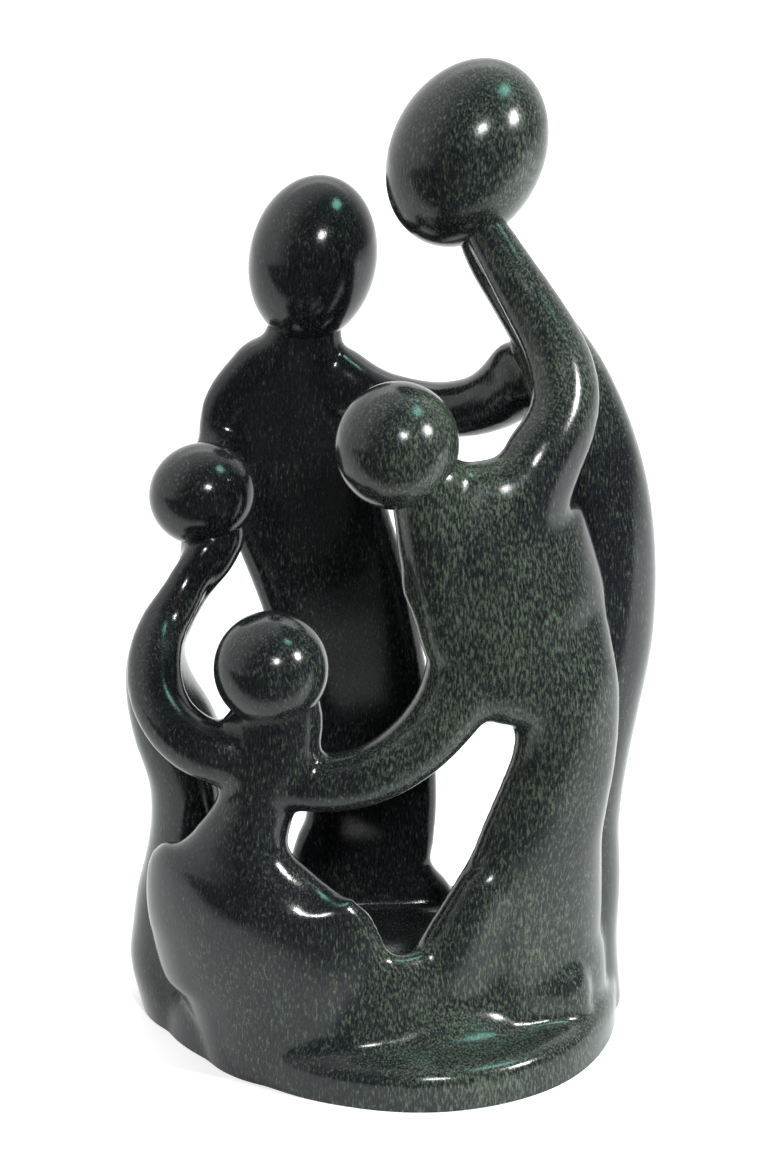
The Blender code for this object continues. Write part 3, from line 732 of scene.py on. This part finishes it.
def new_group(name, inputs, outputs):
    """An empty shader node group with the named sockets, its input node and its output node."""
    group = bpy.data.node_groups.new(name, "ShaderNodeTree")
    for label, kind in inputs:
        group.interface.new_socket(label, in_out="INPUT", socket_type=kind)
    for label, kind in outputs:
        group.interface.new_socket(label, in_out="OUTPUT", socket_type=kind)
    return group, group.nodes.new("NodeGroupInput"), group.nodes.new("NodeGroupOutput")


# %% [markdown]
# The flecks are noise drawn out upwards, so they come out as short strokes, leaned a little. The cloud is
# wide soft noise that thins them out here and there, and the dust is the finest noise of all.

# %% The grain: flecks, cloud and dust
FLECK_SCALE = 1700.0  # cells of noise to the metre
FLECK_LEAN = radians(-13)  # how far the strokes lean to the right
FLECK_TURN = 0.05
FLECK_STRETCH = 0.27  # cells to the metre along a stroke, as a share of those across it
CLOUD_SCALE = 38.0
DUST_SCALE = 2600.0

grain, grain_in, grain_out = new_group("stone grain", [("Place", "NodeSocketVector")],
                                       [("Fleck", "NodeSocketFloat"), ("Cloud", "NodeSocketFloat"),
                                        ("Dust", "NodeSocketFloat")])
place = grain_in.outputs["Place"]
leaned = node(grain, "ShaderNodeMapping", Vector=place, Rotation=(FLECK_TURN, FLECK_LEAN, 0.0),
              Scale=(1, 1, FLECK_STRETCH))
fine = node(grain, "ShaderNodeTexNoise", Vector=leaned.outputs["Vector"], Scale=FLECK_SCALE, Detail=3.0,
            Roughness=0.62, Distortion=0.3)
cloud = node(grain, "ShaderNodeTexNoise", Vector=place, Scale=CLOUD_SCALE, Detail=3.0, Roughness=0.55)
dust = node(grain, "ShaderNodeTexNoise", Vector=place, Scale=DUST_SCALE, Detail=2.0, Roughness=0.6)
for label, noise in (("Fleck", fine), ("Cloud", cloud), ("Dust", dust)):
    grain.links.new(noise.outputs["Fac"], grain_out.inputs[label])
print("one cell of a fleck is", round(1000 / FLECK_SCALE, 2), "mm wide and",
      round(1000 / FLECK_SCALE / FLECK_STRETCH, 2), "mm long")

# %% [markdown]
# Some parts of the block are richer in green flecks than others. Each rich patch is a ball that fades out
# from the middle, and where patches meet, the stronger one counts.

# %% How rich the flecks are in each part of the block
# Middle of the patch and its reach in metres, and how rich it is from 0 to 1

PATCHES = [
    ((0.030, -0.050, 0.120), 0.055, 0.95),
    ((0.022, -0.045, 0.195), 0.030, 0.95),
    ((0.050, -0.010, 0.225), 0.040, 0.95),
    ((0.045, 0.010, 0.275), 0.045, 0.9),
    ((0.040, -0.060, 0.030), 0.060, 0.75),
    ((-0.010, -0.080, 0.005), 0.050, 0.45),
]
PATCH_FULL = 0.45  # a patch is at full strength within this share of its reach
PATCH_GONE = 1.35  # and gone beyond this one

richness, rich_in, rich_out = new_group("fleck richness", [("Place", "NodeSocketVector")],
                                        [("Richness", "NodeSocketFloat")])
total = None
for centre, reach, strength in PATCHES:
    away = node(richness, "ShaderNodeVectorMath", {"operation": "DISTANCE"}, i0=rich_in.outputs["Place"],
                i1=centre)
    near = soft_range(richness, away.outputs["Value"], reach * PATCH_GONE, reach * PATCH_FULL, 0.0, strength)
    if total is None:
        total = near
    else:
        total = node(richness, "ShaderNodeMath", {"operation": "MAXIMUM"}, i0=total, i1=near).outputs[0]
richness.links.new(total, rich_out.inputs["Richness"])
print("rich patches:", len(PATCHES))

# %% [markdown]
# The stone's colour runs from the dark ground to the pale flecks. The dust darkens and brightens it grain by
# grain and makes the polish uneven, and the flecks stand out by a hair.

# %% The stone material
DARK_STONE = (0.0085, 0.0080, 0.0130, 1)
GREEN_STONE = (0.018, 0.023, 0.022, 1)
FLECK_STONE = (0.100, 0.130, 0.092, 1)
GREEN_AT = 0.45  # where the green lies on the way from the dark ground to the flecks
POLISHED = 0.11  # roughness where the polish is best
WORN = 0.27  # and where it is worst

stone = bpy.data.materials.new("polished stone")
stone.use_nodes = True
tree = stone.node_tree
finish = tree.nodes["Principled BSDF"]
spot = node(tree, "ShaderNodeTexCoord").outputs["Object"]
grains = node(tree, "ShaderNodeGroup", {"node_tree": grain}, Place=spot).outputs
rich = node(tree, "ShaderNodeGroup", {"node_tree": richness}, Place=spot).outputs["Richness"]

lift = add_share(tree, rich, 0.12, grains["Fleck"])
drift = add_share(tree, grains["Cloud"], 0.22, lift)
fleck = soft_range(tree, drift, 0.49, 0.94, 0.0, 1.0)
speck = even_range(tree, grains["Dust"], 0.35, 0.75, 0.6, 1.35)
ramp = node(tree, "ShaderNodeValToRGB", Fac=fleck)
ramp.color_ramp.elements[0].color = DARK_STONE
ramp.color_ramp.elements[1].color = FLECK_STONE
ramp.color_ramp.elements.new(GREEN_AT).color = GREEN_STONE
colour = node(tree, "ShaderNodeMix", {"data_type": "RGBA", "blend_type": "MULTIPLY"}, i0=1.0,
              i6=ramp.outputs["Color"], i7=speck)
tree.links.new(colour.outputs[2], finish.inputs["Base Color"])

rough = even_range(tree, add_share(tree, rich, 0.20, grains["Dust"]), 0.35, 0.95, POLISHED, WORN)
tree.links.new(rough, finish.inputs["Roughness"])
finish.inputs["IOR"].default_value = 1.42
bump = node(tree, "ShaderNodeBump", Height=grains["Fleck"], Strength=0.12, Distance=0.0002)
tree.links.new(bump.outputs["Normal"], finish.inputs["Normal"])
carving.data.materials.clear()
carving.data.materials.append(stone)
print("stone material has", len(tree.nodes), "nodes")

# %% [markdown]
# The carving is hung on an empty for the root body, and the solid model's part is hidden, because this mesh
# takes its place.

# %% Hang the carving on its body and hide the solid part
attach(carving, "root")
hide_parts("family_group")
print(carving.name, "rides on root")

# %% [markdown]
# ## Floor
# A pale table runs under the carving and glows a little, so shadows on it stay pale. A little in front of the
# carving, outside the picture, it fades to dark grey, so the front of the stone mirrors darkness.

# %% The pale floor
WHITE = (1.0, 1.0, 1.0)
FLOOR_CORNERS = [(-4, -4, 0), (4, -4, 0), (4, 6, 0), (-4, 6, 0)]
FADED_AT = -0.20  # along Y, where the table is dark grey
PALE_AT = -0.112  # and from where on it is pale

floor = mesh_object("pale floor", np.array(FLOOR_CORNERS, dtype=float), [[0, 1, 2, 3]])
paper = bpy.data.materials.new("pale paper")
paper.use_nodes = True
table = paper.node_tree
surface = table.nodes["Principled BSDF"]
spot = node(table, "ShaderNodeTexCoord").outputs["Object"]
back = node(table, "ShaderNodeSeparateXYZ", Vector=spot).outputs["Y"]
table.links.new(soft_range(table, back, FADED_AT, PALE_AT, 0.04, 0.86), surface.inputs["Base Color"])
table.links.new(soft_range(table, back, FADED_AT, PALE_AT, 0.0, 0.35), surface.inputs["Emission Strength"])
surface.inputs["Emission Color"].default_value = (*WHITE, 1)
surface.inputs["Roughness"].default_value = 0.7
floor.data.materials.append(paper)
print("the table turns pale over", round((PALE_AT - FADED_AT) * 1000), "mm in front of the carving")

# %% [markdown]
# ## Light
# The room is bright behind the carving and to its left, and dim on the other side.

# %% The room's light
BRIGHT_SIDE = (-0.50, 0.866, 0.0)
DIM_ROOM = 0.09
BRIGHT_ROOM = 1.35

world = bpy.data.worlds.new("pale room")
bpy.context.scene.world = world
world.use_nodes = True
room = world.node_tree
sky = node(room, "ShaderNodeTexCoord").outputs["Generated"]
behind = node(room, "ShaderNodeVectorMath", {"operation": "DOT_PRODUCT"}, i0=sky, i1=BRIGHT_SIDE)
glow = soft_range(room, behind.outputs["Value"], -0.45, 0.35, DIM_ROOM, BRIGHT_ROOM)
room.links.new(glow, room.nodes["Background"].inputs["Strength"])
room.nodes["Background"].inputs["Color"].default_value = (*WHITE, 1)
print("the bright side is", round(BRIGHT_ROOM / DIM_ROOM), "times as bright as the dim one")

# %% [markdown]
# Two soft boxes at the camera's side put the small highlights on the heads, a green one hangs over them, and
# a wide one keeps the far end of the table white.

# %% Soft boxes
# Name, direction from the target, distance, width, height, power in watts, colour, target and spread in
# degrees

MIDDLE = (0, 0, 0.15)
LAMPS = [
    ("right soft box", (0.80, -0.37, 0.48), 1.3, 0.20, 0.24, 16, (1.0, 0.99, 0.98), MIDDLE, 180),
    ("front soft box", (0.20, -0.84, 0.50), 1.5, 0.20, 0.16, 11, WHITE, MIDDLE, 180),
    ("overhead lamp", (0.50, -0.11, 0.86), 1.4, 0.40, 0.30, 4.5, (0.40, 0.95, 0.78), MIDDLE, 180),
    ("backdrop lamp", (0, 0, 1), 1.8, 5.0, 3.0, 50, WHITE, (0, 2.6, 0), 110),
]


def soft_box(name, direction, distance, width, height, power, colour, target, spread):
    """An area light that stands off from a target in a direction and faces it."""
    lamp = bpy.data.lights.new(name, "AREA")
    lamp.shape = "RECTANGLE"
    lamp.size = width
    lamp.size_y = height
    lamp.energy = power
    lamp.color = colour
    lamp.spread = radians(spread)
    holder = bpy.data.objects.new(name, lamp)
    bpy.context.collection.objects.link(holder)
    way = Vector(direction).normalized()
    holder.location = Vector(target) + way * distance
    holder.rotation_euler = way.to_track_quat("Z", "Y").to_euler()
    print(name, "stands", distance, "m from what it lights")


for lamp_row in LAMPS:
    soft_box(*lamp_row)

# %% [markdown]
# ## Camera
# The camera stands in front and a little above, about 90 cm from the middle of the carving, and looks down a
# little.

# %% Place the camera
CAMERA_PLACE = (0.002, -0.8657, 0.4061)
LOOK_DOWN = 17  # degrees
FOCAL_LENGTH = 90.8  # millimetres, as is the next one
FILM_WIDTH = 36

lens = bpy.data.cameras.new("camera")
lens.lens = FOCAL_LENGTH
lens.sensor_width = FILM_WIDTH
camera = bpy.data.objects.new("camera", lens)
bpy.context.collection.objects.link(camera)
camera.location = CAMERA_PLACE
camera.rotation_euler = (radians(90 - LOOK_DOWN), 0, 0)
bpy.context.scene.camera = camera
bpy.context.scene.view_settings.view_transform = "Standard"
print("camera is", round((camera.location - Vector(MIDDLE)).length, 3), "m from the middle of the carving")
